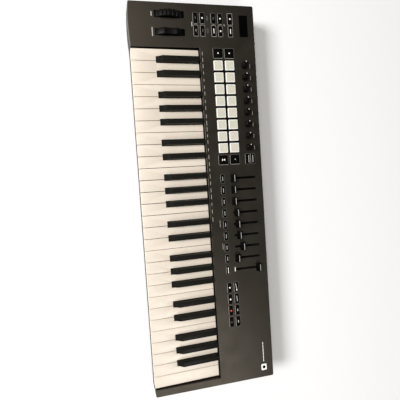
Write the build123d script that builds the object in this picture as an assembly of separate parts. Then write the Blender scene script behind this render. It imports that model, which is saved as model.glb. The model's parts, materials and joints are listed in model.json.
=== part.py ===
"""A 49-key MIDI keyboard with wheels, pads, knobs and faders, as separate sub-parts.

X runs along the keys from the low notes to the high ones, Y from the player's side to the back, Z up.
The origin is the middle of the footprint, on the surface that the feet stand on. Units are millimetres.
"""
from build123d import *
import os
from math import atan2, cos, degrees, radians, sin

# ---- Overall size ----
LENGTH = 789.0
DEPTH = 258.0
FEET_HEIGHT = 3.0
WALL = 2.5
CORNER_R = 3.0
RIM_R = 1.2
FLOOR_CHAMFER = 1.5
PANEL_FRONT_Z = 52.0
PANEL_BACK_Z = 62.0
PARTING_Z = 38.0
FRONT_BULGE = 2.0
SLOPE = degrees(atan2(PANEL_BACK_Z - PANEL_FRONT_Z, DEPTH))

# ---- Keys ----
KEY_PITCH = 23.5
OCTAVE = 7 * KEY_PITCH
OCTAVES = 4
KEYS_X0 = -305.1
KEY_GAP = 1.2
KEY_FRONT_Y = -127.3
KEY_REAR_Y = 8.3
KEY_TOP_Z = 50.0
KEY_SIDE_Z = 36.0
KEY_LIP_Z = 31.0
KEY_WALL = 1.6
KEY_SKIN = 2.5
SHARP_FRONT_Y = -78.0
SHARP_CREST_Y = -67.0
SHARP_BASE_HALF = 5.85
SHARP_TOP_HALF = 4.7
SHARP_LOW_Z = 42.0
SHARP_TOP_Z = 61.5
SHARP_GAP = 0.9
SHARP_X = {"c_sharp": 21.15, "d_sharp": 49.35, "f_sharp": 90.64, "g_sharp": 117.5, "a_sharp": 144.36}
HINGE_Y = 30.0
HINGE_BAR = (24.0, 36.0)
BAR_END = 2.0
PIN_R = 1.2
PIN_BORE_R = 1.25
PIN_REACH = 1.7
HANGER_GAP = 0.3
HANGER_Y = (25.0, 35.0)
HANGER_TOP_Z = 50.3
BAR_Z = {"cegb": (43.0, 45.5), "dfa": (39.3, 41.8), "sharps": (46.8, 49.3)}

# ---- Key bay in the top panel ----
BAY_X0 = -306.8
BAY_X1 = 378.8
BAY_REAR_Y = 9.5
BAY_LIP_Z = 52.6
RIB_WALL = 1.8
RIB_SHIFT = 0.2
RIB_Y = (-110.0, 60.0)
SUPPORT_X = (-250.0, -90.0, 70.0, 230.0, 340.0)
SUPPORT_Y = (-108.0, -54.0, 31.0)
SUPPORT_HALF = (6.0, 4.0)
FRONT_OPENING_Z = 20.0

# ---- Keybed ----
CHASSIS_X0 = -303.0
CHASSIS_X1 = 375.0
HANGER_X0 = -304.9
HANGER_X1 = 376.5
CHASSIS_Y0 = -118.0
CHASSIS_Y1 = 40.0
CHASSIS_Z0 = 6.5
BASE_TOP_Z = 8.5
FRONT_RAIL_Z = 24.0
MIDDLE_RAIL_Z = 26.0
HINGE_RAIL_Z = 38.0
FELT = 3.0
UPSTOP_FELT = 2.0
CONTACT_Y = (-34.0, 2.0)
CONTACT_BOARD_Z = (14.0, 15.6)
DOME_TOP_Z = 20.6
ACTUATOR_LOW_Z = 24.5
ACTUATOR_Y = (-27.0, -23.0)
SPRING_SEAT_Y = (-6.0, -3.5)
NATURAL_HOOK_Y = -91.0
SHARP_HOOK_Y = -39.0
HOOK_PLAY = 0.3
NATURAL_GUIDE_Y = (-113.0, -104.0)
SHARP_GUIDE_Y = (-60.0, -51.0)
GUIDE_HALF = 2.5
NATURAL_GUIDE_Z = 37.5
SHARP_GUIDE_Z = 46.0
HOOK_HALF = 2.5
HOOK_TOE = (2.2, 4.0)
FRONT_WEB_Y = -99.0
FRONT_LIP_Y = -92.0
MIDDLE_RAIL_Y = (-64.0, -40.0)
MIDDLE_WEB_Y = -48.0
HINGE_WEB_Y = 22.0
PILLAR_COUNT = 7
PILLAR_PITCH = 108.0
DOME_Y = -25.0
DOME_R = 3.0
DOME_STRIP_Y = (-31.0, -19.0)
LEAF = ((22.0, 28.0), (22.0, 28.5), (-5.0, 33.2), (-5.0, 32.7))
LEAF_HALF = 2.5

# ---- Wheels ----
WHEEL_Y = -48.0
WHEEL_Z = 27.0
WHEEL_R = 38.0
WHEEL_WIDTH = 12.0
WHEEL_X = {"pitch_wheel": -371.0, "mod_wheel": -336.4}
WHEEL_SLOT = (14.0, 60.0)
AXLE_R = 3.0
AXLE_SEAT_R = 3.03
WHEEL_BORE_R = 3.05
AXLE_X = -353.0
AXLE_LENGTH = 66.0
EAR_X = (-382.5, -353.7, -323.5)
EAR_HALF = (2.0, 12.0)
CRADLE = (-388.0, -318.0, -76.0, -20.0)
WHEEL_RIM = 5.0
WEB_HALF = 1.5
HUB_R = 7.0
WHEEL_SPREAD_DEG = 66.0
RIB_STEP_DEG = 13.6
RIB_GROOVE_R = 2.0
THUMB_DIP_R = 36.0
THUMB_DIP_DEPTH = 4.0

# ---- Controls on the deck, X and Y of their middles ----
PAD_PITCH = 24.05
PAD_SIZE = (20.8, 20.5)
PAD_X0 = -272.1
PAD_ROWS_Y = {"pads_front": 46.8, "pads_back": 71.0}
PAD_COUNT = 8
PAD_RISE = 1.6
KNOB_X0 = -272.0
KNOB_PITCH = 24.1
KNOB_Y = 102.0
KNOB_COUNT = 8
KNOB_R = 6.8
KNOB_TOP_R = 5.9
KNOB_HEIGHT = 15.85
KNOB_GAP = 0.8
POT_SHAFT_R = 3.0
POT_BORE_R = 3.06
POT_BODY = (9.8, 11.0, 6.5)
POT_BUSH = (3.5, 5.0)
POT_HOLE_R = 3.8
FADER_X0 = -40.4
FADER_PITCH = 24.0
FADER_COUNT = 9
FADER_START_Y = 64.0
FADER_TRAVEL = 45.0
FADER_REST = (0.0, 0.0, 0.0, 3.7, 4.6, 6.4, 12.4, 0.0, 45.0)
FADER_SLOT = (2.8, 52.5)
FADER_CAP = (16.0, 10.0, 11.0)
FADER_STEM = (1.2, 4.0, 8.0)
FADER_CREST_HALF = 1.3
FADER_FOOT = (1.0, 5.0)
FADER_BODY = (9.0, 60.0, 7.0)
FADER_TRACK = (2.2, 53.0, 5.0)
SLOT_BEFORE_START = 4.2
DISPLAY = (43.5, 18.0, -352.7, 105.8)
BUTTON_RISE = 1.2
BUTTON_ROUND = 1.2
BUTTON_GAP = 0.5
CARRIER = (-4.8, -3.8)
PLUNGER_LOW = -9.4
BOARD_LIFT = (-12.6, -11.0)
DECK_BOARD = (-45.5, 78.0, 671.0, 78.0)
BOARD_TONGUE = (-351.5, 16.0, 59.0, 48.0)
PLUNGER = 5.0
COLUMN_Y = (4.6, 18.7, 41.8, 56.0, 77.1)
ROW_X = (-365.8, -341.0)

# ---- Sockets in the rear wall ----
USB_X = -300.0
PEDAL_X = -262.0
MIDI_X = -225.0
LOCK_X = -340.0
LOCK_SLOT = (7.0, 3.0, 22.0)
MAIN_BOARD_X = (-352.0, -206.0)
MAIN_BOARD_Y = (70.0, 124.0)
MAIN_BOARD_Z = (12.0, 13.6)
BOARD_POST_X = (-345.0, -211.0)
BOARD_POST_Y = (76.0, 112.0)
BOARD_POST_R = 3.5
USB_SHELL = (12.0, 16.0, 10.8)
USB_MOUTH = (8.5, 7.8)
PEDAL_BORE_R = 3.225
PEDAL_BORE_LENGTH = 27.0
MIDI_BODY = (19.0, 13.0, 19.0)

# ---- Screws and feet ----
SCREW_SPOTS = ((-386.0, -117.5), (-314.0, -117.5), (386.6, -117.5), (-386.0, 20.0), (386.6, 20.0),
               (-386.0, 121.0), (-193.0, 121.0), (0.0, 121.0), (193.0, 121.0), (386.6, 121.0))
BOSS_JOIN_Z = 12.0
BOSS_R = (3.5, 4.2)
SCREW_R = 1.45
SCREW_HEAD = (2.9, 4.2, 6.5)
FOOT_R = 9.0
FOOT_SPOTS = tuple((x, y) for x in (-365.0, 0.0, 365.0) for y in (-100.0, 105.0))


def block(x0, x1, y0, y1, z0, z1):
    """An upright box between two corners."""
    return Pos((x0 + x1) / 2, (y0 + y1) / 2, (z0 + z1) / 2) * Box(x1 - x0, y1 - y0, z1 - z0)


def rod(x, y, z0, z1, radius):
    """An upright cylinder."""
    return Pos(x, y, (z0 + z1) / 2) * Cylinder(radius, z1 - z0)


def panel_z(y):
    """Height of the sloped top surface at a depth y."""
    return PANEL_FRONT_Z + (y + DEPTH / 2) * (PANEL_BACK_Z - PANEL_FRONT_Z) / DEPTH


def on_panel(x, y):
    """A place on the sloped surface, with its own Z along the surface's normal."""
    return Location((x, y, panel_z(y)), (SLOPE, 0, 0))


def tablet(width, depth, z0, z1, corner):
    """A plate with round corners, centred in X and Y."""
    return Pos(0, 0, z0) * extrude(RectangleRounded(width, depth, corner), z1 - z0)


def profile_x(points, x0, x1):
    """A closed outline of (y, z) points, extruded along X from x0 to x1."""
    face = Plane.YZ.offset(x0) * make_face(Polyline(*points, close=True))
    return extrude(face, x1 - x0)


def save(name, shape):
    export_step(Compound(label=name, children=shape.solids()), f"parts/{name}.step")


# ---------------- Casing ----------------

def case_outline(inset=0.0):
    """Plan outline of the whole case, with the left block's front bulging a little."""
    x = LENGTH / 2 - inset
    y = DEPTH / 2 - inset
    front = -y + FRONT_BULGE
    bulge = ThreePointArc((-x, front), ((-x + BAY_X0) / 2, -y), (BAY_X0, front))
    rest = Polyline((BAY_X0, front), (x, front), (x, y), (-x, y), (-x, front))
    return make_face(bulge + rest)


def panel_slab(outline, z0, lift):
    """The outline raised from z0 to the sloped surface, moved along its normal by lift."""
    tall = Pos(0, 0, z0) * extrude(outline, 60)
    above = Location((0, 0, panel_z(0)), (SLOPE, 0, 0)) * Pos(0, 0, lift + 50) * Box(900, 400, 100)
    return tall - above


def deck_openings():
    """Cutters for every hole in the sloped surface."""
    cuts = []
    for x in WHEEL_X.values():
        cuts.append(on_panel(x, WHEEL_Y) * tablet(WHEEL_SLOT[0], WHEEL_SLOT[1], -20, 5, 1.5))
    for name in BUTTON_GROUPS:
        for x, y, width, depth in BUTTON_GROUPS[name]:
            hole = tablet(width + 2 * BUTTON_GAP, depth + 2 * BUTTON_GAP, -6, 5, BUTTON_ROUND + BUTTON_GAP)
            cuts.append(on_panel(x, y) * hole)
    for i in range(KNOB_COUNT):
        cuts.append(on_panel(KNOB_X0 + i * KNOB_PITCH, KNOB_Y) * Cylinder(POT_HOLE_R, 20))
    slot_y = FADER_START_Y - SLOT_BEFORE_START + FADER_SLOT[1] / 2
    for i in range(FADER_COUNT):
        slot = tablet(FADER_SLOT[0], FADER_SLOT[1], -6, 5, 1.0)
        cuts.append(on_panel(FADER_X0 + i * FADER_PITCH, slot_y) * slot)
    width, depth, x, y = DISPLAY
    cuts.append(on_panel(x, y) * tablet(width - 4, depth - 4, -6, 5, 1.0))
    cuts.append(on_panel(x, y) * tablet(width + 0.3, depth + 0.3, -1.3, 5, 1.0))
    return cuts


def make_top_panel():
    """Upper shell: sloped deck, skirts down to the parting line and screw bosses."""
    bay = block(BAY_X0, BAY_X1, -DEPTH, BAY_REAR_Y, 0, 90)
    shell = panel_slab(case_outline(), PARTING_Z, 0) - bay
    upright = shell.edges().filter_by(Axis.Z)
    corners = upright.filter_by(lambda e: abs(e.center().X) > LENGTH / 2 - 1)
    shell = fillet(corners, CORNER_R)
    rim = shell.faces().sort_by(Axis.Z)[-1].outer_wire().edges()
    shell = fillet(rim, RIM_R)
    cavity = panel_slab(case_outline(WALL), PARTING_Z - 1, -WALL)
    cavity -= block(BAY_X0 - WALL, BAY_X1 + WALL, -DEPTH, BAY_REAR_Y + WALL, 0, 90)
    shell -= cavity
    shell -= block(BAY_X0 + 0.01, BAY_X1 - 0.01, BAY_REAR_Y - 1, BAY_REAR_Y + WALL + 0.5, 0, BAY_LIP_Z)
    bosses = []
    bores = []
    for x, y in SCREW_SPOTS:
        bosses.append(rod(x, y, BOSS_JOIN_Z, panel_z(y) - 1.5, BOSS_R[0]))
        bores.append(rod(x, y, BOSS_JOIN_Z - 1, BOSS_JOIN_Z + 14, 1.5))
    shell += bosses
    return shell - bores - deck_openings()


def make_bottom_case():
    """Lower tray: floor, walls, socket cut-outs, screw bosses and keybed supports."""
    tray = Pos(0, 0, FEET_HEIGHT) * extrude(case_outline(), PARTING_Z - FEET_HEIGHT)
    corners = tray.edges().filter_by(Axis.Z).filter_by(lambda e: abs(e.center().X) > LENGTH / 2 - 1)
    tray = fillet(corners, CORNER_R)
    tray = chamfer(tray.faces().sort_by(Axis.Z)[0].outer_wire().edges(), FLOOR_CHAMFER)
    floor_z = FEET_HEIGHT + WALL
    tray -= Pos(0, 0, floor_z) * extrude(case_outline(WALL), 60)
    tray -= block(BAY_X0, BAY_X1, -DEPTH, CHASSIS_Y0, FRONT_OPENING_Z, 60)
    adds = []
    cuts = []
    for x, y in SCREW_SPOTS:
        adds.append(rod(x, y, floor_z - 0.5, BOSS_JOIN_Z, BOSS_R[1]))
        cuts.append(rod(x, y, 0, SCREW_HEAD[2], SCREW_HEAD[0] + 0.3))
        cuts.append(rod(x, y, 5, BOSS_JOIN_Z + 1, 1.7))
    half_x, half_y = SUPPORT_HALF
    for x in SUPPORT_X:
        for y in SUPPORT_Y:
            adds.append(block(x - half_x, x + half_x, y - half_y, y + half_y, floor_z - 0.5, CHASSIS_Z0))
    for x in BOARD_POST_X:
        for y in BOARD_POST_Y:
            adds.append(rod(x, y, floor_z - 0.5, MAIN_BOARD_Z[0], BOARD_POST_R))
    for x in (BAY_X0 - RIB_SHIFT, BAY_X1 - RIB_WALL - RIB_SHIFT):
        adds.append(block(x, x + RIB_WALL, RIB_Y[0], RIB_Y[1], floor_z - 0.5, PARTING_Z - 4))
    for x, y in FOOT_SPOTS:
        cuts.append(rod(x, y, 0, FEET_HEIGHT + 0.8, FOOT_R + 0.2))
    back = DEPTH / 2
    usb_z = MAIN_BOARD_Z[1] + USB_SHELL[2] / 2
    cuts.append(Pos(USB_X, back, usb_z) * Box(USB_SHELL[0] + 0.6, 10, USB_SHELL[2] + 0.6))
    cuts.append(Pos(PEDAL_X, back, PEDAL_Z) * Rot(90, 0, 0) * Cylinder(5.2, 10))
    cuts.append(Pos(MIDI_X, back, MIDI_Z) * Rot(90, 0, 0) * Cylinder(8.3, 10))
    cuts.append(Pos(LOCK_X, back, LOCK_SLOT[2]) * Box(LOCK_SLOT[0], 10, LOCK_SLOT[1]))
    return tray + adds - cuts


def make_feet():
    feet = []
    for x, y in FOOT_SPOTS:
        feet.append(rod(x, y, 0, FEET_HEIGHT + 0.8, FOOT_R))
    return Compound(feet)


def make_case_screws():
    """Pan-head screws, driven from below into the upper shell's bosses."""
    head_r, head_low, head_top = SCREW_HEAD
    screws = []
    for x, y in SCREW_SPOTS:
        screws.append(rod(x, y, head_low, head_top, head_r) + rod(x, y, head_top, BOSS_JOIN_Z + 12, SCREW_R))
    return Compound(screws)


# ---------------- Keys ----------------

def natural_span(index):
    """X range of the wide front of a natural, from the octave's left edge."""
    return index * KEY_PITCH + KEY_GAP / 2, (index + 1) * KEY_PITCH - KEY_GAP / 2


def tail_span(index, sharps):
    """X range of a natural's tail, narrowed by the sharps beside it."""
    x0, x1 = natural_span(index)
    middle = (x0 + x1) / 2
    for x in sharps:
        if x0 - KEY_PITCH / 2 < x <= middle:
            x0 = max(x0, x + SHARP_BASE_HALF + SHARP_GAP)
        if middle < x < x1 + KEY_PITCH / 2:
            x1 = min(x1, x - SHARP_BASE_HALF - SHARP_GAP)
    return x0, x1


def stop_leg(x, y, top_z, toe_z):
    """A hook that catches under the chassis and stops the key's way up."""
    thick, reach = HOOK_TOE
    leg = block(x - HOOK_HALF, x + HOOK_HALF, y, y + KEY_SKIN, toe_z - thick, top_z)
    toe = block(x - HOOK_HALF, x + HOOK_HALF, y - reach, y, toe_z - thick, toe_z)
    return [leg, toe]


def make_natural(index, bar, sharps):
    """One white key, hollow below, with its arm back to the hinge bar."""
    x0, x1 = natural_span(index)
    t0, t1 = tail_span(index, sharps)
    waist_y = SHARP_FRONT_Y - SHARP_GAP - 0.5
    middle = (t0 + t1) / 2
    head = block(x0, x1, KEY_FRONT_Y, waist_y, KEY_SIDE_Z, KEY_TOP_Z)
    tail = block(t0, t1, waist_y - 1, KEY_REAR_Y, KEY_SIDE_Z, KEY_TOP_Z)
    lip = block(x0, x1, KEY_FRONT_Y, KEY_FRONT_Y + KEY_SKIN, KEY_LIP_Z, KEY_SIDE_Z + 1)
    key = head + [tail, lip]
    inner_top = KEY_TOP_Z - KEY_SKIN
    hollow_head = block(x0 + KEY_WALL, x1 - KEY_WALL, KEY_FRONT_Y + KEY_SKIN, waist_y - KEY_WALL,
                        KEY_SIDE_Z - 1, inner_top)
    hollow_tail = block(t0 + KEY_WALL, t1 - KEY_WALL, waist_y - 5, KEY_REAR_Y - KEY_WALL,
                        KEY_SIDE_Z - 1, inner_top)
    key -= [hollow_head, hollow_tail]
    actuator = block(middle - 2, middle + 2, ACTUATOR_Y[0], ACTUATOR_Y[1], ACTUATOR_LOW_Z, inner_top + 1)
    seat = block(t0 + 0.5, t1 - 0.5, SPRING_SEAT_Y[0], SPRING_SEAT_Y[1], KEY_SIDE_Z, inner_top + 1)
    low, high = BAR_Z[bar]
    arm = block(middle - 4.5, middle + 4.5, KEY_REAR_Y - 1, HINGE_BAR[0] + 1, low, high)
    hook = stop_leg(middle, NATURAL_HOOK_Y, inner_top + 1, FRONT_RAIL_Z - WALL - UPSTOP_FELT - HOOK_PLAY)
    return key + [actuator, seat, arm] + hook


def frustum(half_low, y_low, z_low, half_high, y_high, z_high):
    """A tapered block between two rectangles at two heights."""
    def ring(half, span, z):
        return Plane.XY.offset(z) * Pos(0, sum(span) / 2) * Rectangle(2 * half, span[1] - span[0])
    return loft([ring(half_low, y_low, z_low), ring(half_high, y_high, z_high)], ruled=True)


def make_sharp(x):
    """One black key: tapered top with a sloped front, hollow below."""
    skirt = block(-SHARP_BASE_HALF, SHARP_BASE_HALF, SHARP_FRONT_Y, KEY_REAR_Y, SHARP_LOW_Z, KEY_TOP_Z)
    crown = frustum(SHARP_BASE_HALF, (SHARP_FRONT_Y, KEY_REAR_Y), KEY_TOP_Z,
                    SHARP_TOP_HALF, (SHARP_CREST_Y, KEY_REAR_Y), SHARP_TOP_Z)
    inner_z = SHARP_TOP_Z - KEY_SKIN
    inner_half = SHARP_BASE_HALF - KEY_WALL
    rear = KEY_REAR_Y - KEY_WALL
    pocket = block(-inner_half, inner_half, SHARP_FRONT_Y + KEY_WALL, rear, SHARP_LOW_Z - 1, KEY_TOP_Z)
    hollow = frustum(inner_half, (SHARP_FRONT_Y + KEY_WALL, rear), KEY_TOP_Z,
                     inner_half - 0.8, (SHARP_CREST_Y + 1.5, rear), inner_z)
    key = skirt + crown - [pocket, hollow]
    actuator = block(-2, 2, ACTUATOR_Y[0], ACTUATOR_Y[1], ACTUATOR_LOW_Z, inner_z + 1)
    low, high = BAR_Z["sharps"]
    arm = block(-4, 4, KEY_REAR_Y - 1, HINGE_BAR[0] + 1, low, high)
    hook = stop_leg(0, SHARP_HOOK_Y, inner_z + 1, MIDDLE_RAIL_Z - WALL - UPSTOP_FELT - HOOK_PLAY)
    return Pos(x, 0, 0) * (key + [actuator, arm] + hook)


def hinge_bar(kind, width):
    """The bar that joins a moulding's keys, with a round pin out of each end."""
    low, high = BAR_Z[kind]
    bar = block(BAR_END, width - BAR_END, HINGE_BAR[0], HINGE_BAR[1], low, high)
    length = width - 2 * BAR_END + 2 * PIN_REACH
    return bar + Pos(width / 2, HINGE_Y, (low + high) / 2) * Rot(0, 90, 0) * Cylinder(PIN_R, length)


def make_comb(kind):
    """One octave's moulding of naturals or sharps, joined by its hinge bar."""
    sharps = tuple(SHARP_X.values())
    if kind == "sharps":
        keys = [make_sharp(x) for x in sharps]
    else:
        indexes = (0, 2, 4, 6) if kind == "cegb" else (1, 3, 5)
        keys = [make_natural(i, kind, sharps) for i in indexes]
    return hinge_bar(kind, OCTAVE) + keys


def make_top_c():
    """The last white key, alone on its own short bar."""
    return make_natural(0, "cegb", ()) + hinge_bar("cegb", KEY_PITCH)


# ---------------- Keybed ----------------

def key_middles():
    """X of every natural's tail and of every sharp, over the whole keyboard."""
    naturals = []
    sharps = []
    for octave in range(OCTAVES):
        left = KEYS_X0 + octave * OCTAVE
        for index in range(7):
            x0, x1 = tail_span(index, SHARP_X.values())
            naturals.append(left + (x0 + x1) / 2)
        for x in SHARP_X.values():
            sharps.append(left + x)
    naturals.append(KEYS_X0 + OCTAVES * OCTAVE + KEY_PITCH / 2)
    return naturals, sharps


def hanger_spans():
    """X range of each plate that carries hinge pins: both ends and every joint between octaves."""
    half = BAR_END - HANGER_GAP
    joints = [KEYS_X0 + octave * OCTAVE for octave in range(1, OCTAVES + 1)]
    spans = [(HANGER_X0, KEYS_X0 + BAR_END - HANGER_GAP)]
    spans += [(x - half, x + half) for x in joints]
    spans.append((joints[-1] + KEY_PITCH - BAR_END + HANGER_GAP, HANGER_X1))
    return spans


def make_hangers():
    """Upright plates on the hinge rail, bored for the pins of all three key levels."""
    plates = [block(x0, x1, HANGER_Y[0], HANGER_Y[1], HINGE_RAIL_Z - 1, HANGER_TOP_Z)
              for x0, x1 in hanger_spans()]
    bores = []
    for low, high in BAR_Z.values():
        bores.append(Pos(0, HINGE_Y, (low + high) / 2) * Rot(0, 90, 0) * Cylinder(PIN_BORE_R, LENGTH))
    rail = block(HANGER_X0, HANGER_X1, HANGER_Y[0], CHASSIS_Y1, HINGE_RAIL_Z - WALL, HINGE_RAIL_Z)
    return rail + plates - bores


def make_chassis():
    """Keybed frame: base, rails, hinge hangers and a guide post in each key."""
    def bar(y0, y1, z0, z1):
        return block(CHASSIS_X0, CHASSIS_X1, y0, y1, z0, z1)
    front, back = CHASSIS_Y0, CHASSIS_Y1
    base = bar(front, back, CHASSIS_Z0, BASE_TOP_Z)
    low = BASE_TOP_Z - 1
    bars = [
        bar(front, front + WALL, low, FRONT_RAIL_Z),
        bar(front, FRONT_LIP_Y, FRONT_RAIL_Z - WALL, FRONT_RAIL_Z),
        bar(FRONT_WEB_Y, FRONT_WEB_Y + WALL, low, FRONT_RAIL_Z),
        bar(MIDDLE_RAIL_Y[0], MIDDLE_RAIL_Y[0] + WALL, low, MIDDLE_RAIL_Z),
        bar(MIDDLE_RAIL_Y[0], MIDDLE_RAIL_Y[1], MIDDLE_RAIL_Z - WALL, MIDDLE_RAIL_Z),
        bar(MIDDLE_WEB_Y, MIDDLE_WEB_Y + WALL, low, MIDDLE_RAIL_Z),
        bar(HINGE_WEB_Y, HINGE_WEB_Y + WALL, low, HINGE_RAIL_Z),
        bar(HINGE_WEB_Y, back, HINGE_RAIL_Z - WALL, HINGE_RAIL_Z),
        bar(back - WALL, back, low, HINGE_RAIL_Z),
    ]
    naturals, sharps = key_middles()
    posts = []
    for index, x in enumerate(naturals):
        centre = KEYS_X0 + (index + 0.5) * KEY_PITCH
        y0, y1 = NATURAL_GUIDE_Y
        posts.append(block(centre - GUIDE_HALF, centre + GUIDE_HALF, y0, y1, FRONT_RAIL_Z - 1, NATURAL_GUIDE_Z))
    for x in sharps:
        y0, y1 = SHARP_GUIDE_Y
        posts.append(block(x - GUIDE_HALF, x + GUIDE_HALF, y0, y1, MIDDLE_RAIL_Z - 1, SHARP_GUIDE_Z))
    pillars = []
    for step in range(PILLAR_COUNT):
        x = CHASSIS_X0 + 12 + step * PILLAR_PITCH
        for y in (CONTACT_Y[0] + 1, CONTACT_Y[1] - 4):
            pillars.append(block(x - 4, x + 4, y, y + 3, low, CONTACT_BOARD_Z[0]))
    return base + bars + posts + pillars + make_hangers()


def make_contact_board():
    return block(CHASSIS_X0, CHASSIS_X1, CONTACT_Y[0], CONTACT_Y[1], CONTACT_BOARD_Z[0], CONTACT_BOARD_Z[1])


def make_contact_rubber():
    """One silicone strip with a dome under each key."""
    top = CONTACT_BOARD_Z[1]
    strip = block(CHASSIS_X0, CHASSIS_X1, DOME_STRIP_Y[0], DOME_STRIP_Y[1], top, top + 1)
    naturals, sharps = key_middles()
    domes = [rod(x, DOME_Y, top + 0.5, DOME_TOP_Z, DOME_R) for x in naturals + sharps]
    return strip + domes


def make_key_springs():
    """Steel leaf springs from the hinge rail forward to each key."""
    naturals, sharps = key_middles()
    return Compound([profile_x(LEAF, x - LEAF_HALF, x + LEAF_HALF) for x in naturals + sharps])


def make_key_felts():
    """Down-stop felt on the rails and up-stop felt under their lips."""
    x0, x1 = CHASSIS_X0 + 1, CHASSIS_X1 - 1
    under_front = FRONT_RAIL_Z - WALL
    under_middle = MIDDLE_RAIL_Z - WALL
    return Compound([
        block(x0, x1, FRONT_WEB_Y - 2, FRONT_WEB_Y + 3, FRONT_RAIL_Z, FRONT_RAIL_Z + FELT),
        block(x0, x1, FRONT_WEB_Y + 3, FRONT_LIP_Y, under_front - UPSTOP_FELT, under_front),
        block(x0, x1, MIDDLE_WEB_Y + 3, MIDDLE_RAIL_Y[1] - 0.5, under_middle - UPSTOP_FELT, under_middle),
    ])


# ---------------- Wheels ----------------

def make_wheel(ribbed):
    """A wheel sector on a hub, drawn round the X axis at the origin."""
    disc = extrude(Plane.YZ.offset(-WHEEL_WIDTH / 2) * Circle(WHEEL_R), WHEEL_WIDTH)
    reach = 2 * WHEEL_R
    edge = radians(WHEEL_SPREAD_DEG)
    wedge = profile_x([(0, 0), (reach * sin(edge), reach * cos(edge)), (reach, reach), (-reach, reach),
                       (-reach * sin(edge), reach * cos(edge))], -WHEEL_WIDTH / 2, WHEEL_WIDTH / 2)
    sector = disc & wedge
    for side in (-1, 1):
        ring = Circle(WHEEL_R - WHEEL_RIM) - Circle(HUB_R + 2)
        deep = WHEEL_WIDTH / 2 - WEB_HALF
        recess = extrude(Plane.YZ.offset(side * WHEEL_WIDTH / 2 - deep) * ring, 2 * deep)
        sector -= recess
    wheel = sector + extrude(Plane.YZ.offset(-WHEEL_WIDTH / 2) * Circle(HUB_R), WHEEL_WIDTH)
    if ribbed:
        groove = Pos(0, 0, WHEEL_R + 0.4) * Rot(0, 90, 0) * Cylinder(RIB_GROOVE_R, WHEEL_WIDTH + 2)
        wheel -= [Rot(-(step + 0.5) * RIB_STEP_DEG, 0, 0) * groove for step in range(-4, 4)]
    else:
        dip_centre = WHEEL_R - THUMB_DIP_DEPTH + THUMB_DIP_R
        wheel -= Pos(0, 0, dip_centre) * Rot(0, 90, 0) * Cylinder(THUMB_DIP_R, WHEEL_WIDTH + 2)
    return wheel - extrude(Plane.YZ.offset(-WHEEL_WIDTH) * Circle(WHEEL_BORE_R), 2 * WHEEL_WIDTH)


def make_wheel_bracket():
    """Moulded cradle on the floor with three ears for the axle."""
    floor_z = FEET_HEIGHT + WALL
    x0, x1, y0, y1 = CRADLE
    base = block(x0, x1, y0, y1, floor_z, floor_z + 2)
    half_x, half_y = EAR_HALF
    ears = []
    for x in EAR_X:
        ears.append(block(x - half_x, x + half_x, WHEEL_Y - half_y, WHEEL_Y + half_y, floor_z + 1, WHEEL_Z + 7))
    hole = Pos(AXLE_X, WHEEL_Y, WHEEL_Z) * Rot(0, 90, 0) * Cylinder(AXLE_SEAT_R, 90)
    return base + ears - hole


def make_wheel_axle():
    return Pos(AXLE_X, WHEEL_Y, WHEEL_Z) * Rot(0, 90, 0) * Cylinder(AXLE_R, AXLE_LENGTH)


# ---------------- Controls ----------------

def button_grid(xs, ys, width, depth):
    return [(x, y, width, depth) for x in xs for y in ys]


BUTTON_GROUPS = {
    "function_buttons": button_grid(ROW_X, COLUMN_Y, 20.5, 8.0),
    "scene_buttons": button_grid((-296.8,), (47.6, 71.4), 17.0, 17.6),
    "launch_buttons": button_grid((-79.5,), (45.4, 70.4), 17.0, 17.6),
    "device_buttons": button_grid((-79.2,), (98.0, 110.0), 20.5, 8.0),
    "fader_buttons": button_grid([FADER_X0 + i * FADER_PITCH for i in range(9)], (41.0,), 16.0, 6.0),
    "transport_buttons": button_grid((189.4, 213.9, 238.3, 262.9), (41.6, 56.1), 20.5, 8.0),
    "pads_front": button_grid([PAD_X0 + i * PAD_PITCH for i in range(PAD_COUNT)],
                              (PAD_ROWS_Y["pads_front"],), PAD_SIZE[0], PAD_SIZE[1]),
    "pads_back": button_grid([PAD_X0 + i * PAD_PITCH for i in range(PAD_COUNT)],
                             (PAD_ROWS_Y["pads_back"],), PAD_SIZE[0], PAD_SIZE[1]),
}


def make_button_mat(name):
    """A group of buttons or pads standing on one carrier web under the panel."""
    spots = BUTTON_GROUPS[name]
    rise = PAD_RISE if name.startswith("pads") else BUTTON_RISE
    x0 = min(x - w / 2 for x, y, w, d in spots) - 1
    x1 = max(x + w / 2 for x, y, w, d in spots) + 1
    y0 = min(y - d / 2 for x, y, w, d in spots) - 1
    y1 = max(y + d / 2 for x, y, w, d in spots) + 1
    centre_x, centre_y = (x0 + x1) / 2, (y0 + y1) / 2
    web = Pos(0, 0, (CARRIER[0] + CARRIER[1]) / 2) * Box(x1 - x0, y1 - y0, CARRIER[1] - CARRIER[0])
    mat = on_panel(centre_x, centre_y) * web
    parts = []
    for x, y, width, depth in spots:
        cap = tablet(width, depth, CARRIER[0], rise, BUTTON_ROUND)
        cap = chamfer(cap.faces().sort_by(Axis.Z)[-1].edges(), 0.4)
        plunger = Pos(0, 0, (PLUNGER_LOW + CARRIER[0]) / 2) * Box(PLUNGER, PLUNGER, CARRIER[0] - PLUNGER_LOW)
        parts.append(on_panel(x, y) * (cap + plunger))
    return mat + parts


def make_knob(index):
    """A tapered cap on a low skirt, bored from below for its shaft."""
    body = Pos(0, 0, KNOB_GAP) * extrude(Circle(KNOB_R), 2.0)
    cone = loft([Plane.XY.offset(KNOB_GAP + 2) * Circle(KNOB_R - 0.3),
                 Plane.XY.offset(KNOB_HEIGHT) * Circle(KNOB_TOP_R)])
    cone = chamfer(cone.faces().sort_by(Axis.Z)[-1].edges(), 0.7)
    knob = body + cone - Pos(0, 0, 6) * Cylinder(POT_BORE_R, 12.2)
    return on_panel(KNOB_X0 + index * KNOB_PITCH, KNOB_Y) * knob


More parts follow.
